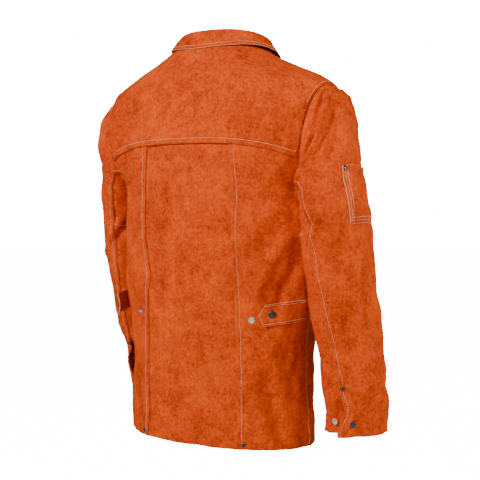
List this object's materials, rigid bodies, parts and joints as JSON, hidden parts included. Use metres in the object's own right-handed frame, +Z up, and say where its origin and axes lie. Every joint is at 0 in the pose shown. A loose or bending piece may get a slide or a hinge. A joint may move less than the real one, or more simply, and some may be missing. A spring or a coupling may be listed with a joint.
{
  "type": "leather welding jacket",
  "caption": "Split-leather welding jacket with lapped panels, turned-down collar, swinging sleeves, opening fronts, waist tabs, press studs and rivets.",
  "frame": {"origin": "middle of the neck seam, at the height of the back neck", "axes": "+Z up, the wearer faces +Y, the wearer's right is +X"},
  "size_m": [0.6606, 0.3146, 0.7608],
  "materials": {
    "suede": "napped split leather, burnt orange, mottled",
    "suede_facing": "napped split leather, darker reverse side",
    "black_cap": "black lacquer, satin",
    "nickel_stud": "nickel plate"
  },
  "bodies": {
    "torso": {"centre_back_panel": "suede", "right_side_back_panel": "suede", "left_side_back_panel": "suede", "back_yoke": "suede", "right_front_side": "suede", "left_front_side": "suede", "collar_stand": "suede_facing", "collar_fall": "suede", "neck_tape": "suede_facing", "hanger_loop": "suede_facing", "inside_pocket": "suede_facing", "inside_pocket_rivets": "black_cap", "right_waist_studs": "nickel_stud", "left_waist_studs": "nickel_stud", "hem_rivets": "black_cap", "top_snap_caps": "black_cap", "chest_snap_studs": "nickel_stud"},
    "right_sleeve": {"right_top_sleeve": "suede", "right_under_sleeve_upper": "suede", "right_under_sleeve_lower": "suede", "right_cuff_facing": "suede_facing", "right_cuff_cap": "black_cap", "right_cuff_stud": "nickel_stud", "right_vent_rivet": "black_cap", "sleeve_pocket": "suede", "sleeve_pocket_rivets": "black_cap"},
    "left_sleeve": {"left_top_sleeve": "suede", "left_under_sleeve_upper": "suede", "left_under_sleeve_lower": "suede", "left_cuff_facing": "suede_facing", "left_cuff_cap": "black_cap", "left_cuff_stud": "nickel_stud", "left_vent_rivet": "black_cap"},
    "left_front": {"left_front_flap": "suede", "left_front_facing": "suede_facing", "front_snap_caps": "black_cap"},
    "right_front": {"right_front_flap": "suede", "right_front_facing": "suede_facing", "flap_snap_studs": "nickel_stud"},
    "right_tab": {"right_waist_tab": "suede", "right_tab_cap": "black_cap"},
    "left_tab": {"left_waist_tab": "suede", "left_tab_cap": "black_cap"}
  },
  "joints": [
    {"name": "right_sleeve_swing", "type": "hinge", "parent": "torso", "child": "right_sleeve", "pos_m": [0.2155, -0.0116, -0.18], "axis": [0.9829, 0, -0.1843], "range_deg": [-25, 60]},
    {"name": "left_sleeve_swing", "type": "hinge", "parent": "torso", "child": "left_sleeve", "pos_m": [-0.2155, 0.0734, -0.18], "axis": [0.9829, 0, 0.1843], "range_deg": [-30, 0]},
    {"name": "left_front_opens", "type": "hinge", "parent": "torso", "child": "left_front", "pos_m": [0.024, 0.1318, -0.15], "axis": [0.1959, 0.0416, 0.9797], "range_deg": [0, 65]},
    {"name": "right_front_opens", "type": "hinge", "parent": "torso", "child": "right_front", "pos_m": [-0.0238, 0.1157, -0.44], "axis": [0.3217, -0.031, -0.9463], "range_deg": [0, 48.75]},
    {"name": "right_tab_swings", "type": "hinge", "parent": "torso", "child": "right_tab", "pos_m": [0.19842, -0.01111, -0.4885], "axis": [0, 0, 1], "range_deg": [0, 42]},
    {"name": "left_tab_swings", "type": "hinge", "parent": "torso", "child": "left_tab", "pos_m": [-0.19842, -0.01111, -0.4885], "axis": [0, 0, -1], "range_deg": [-20, 22]}
  ],
  "couplings": [
    {"joint": "right_front_opens", "follows": "left_front_opens", "ratio": 0.75}
  ]
}
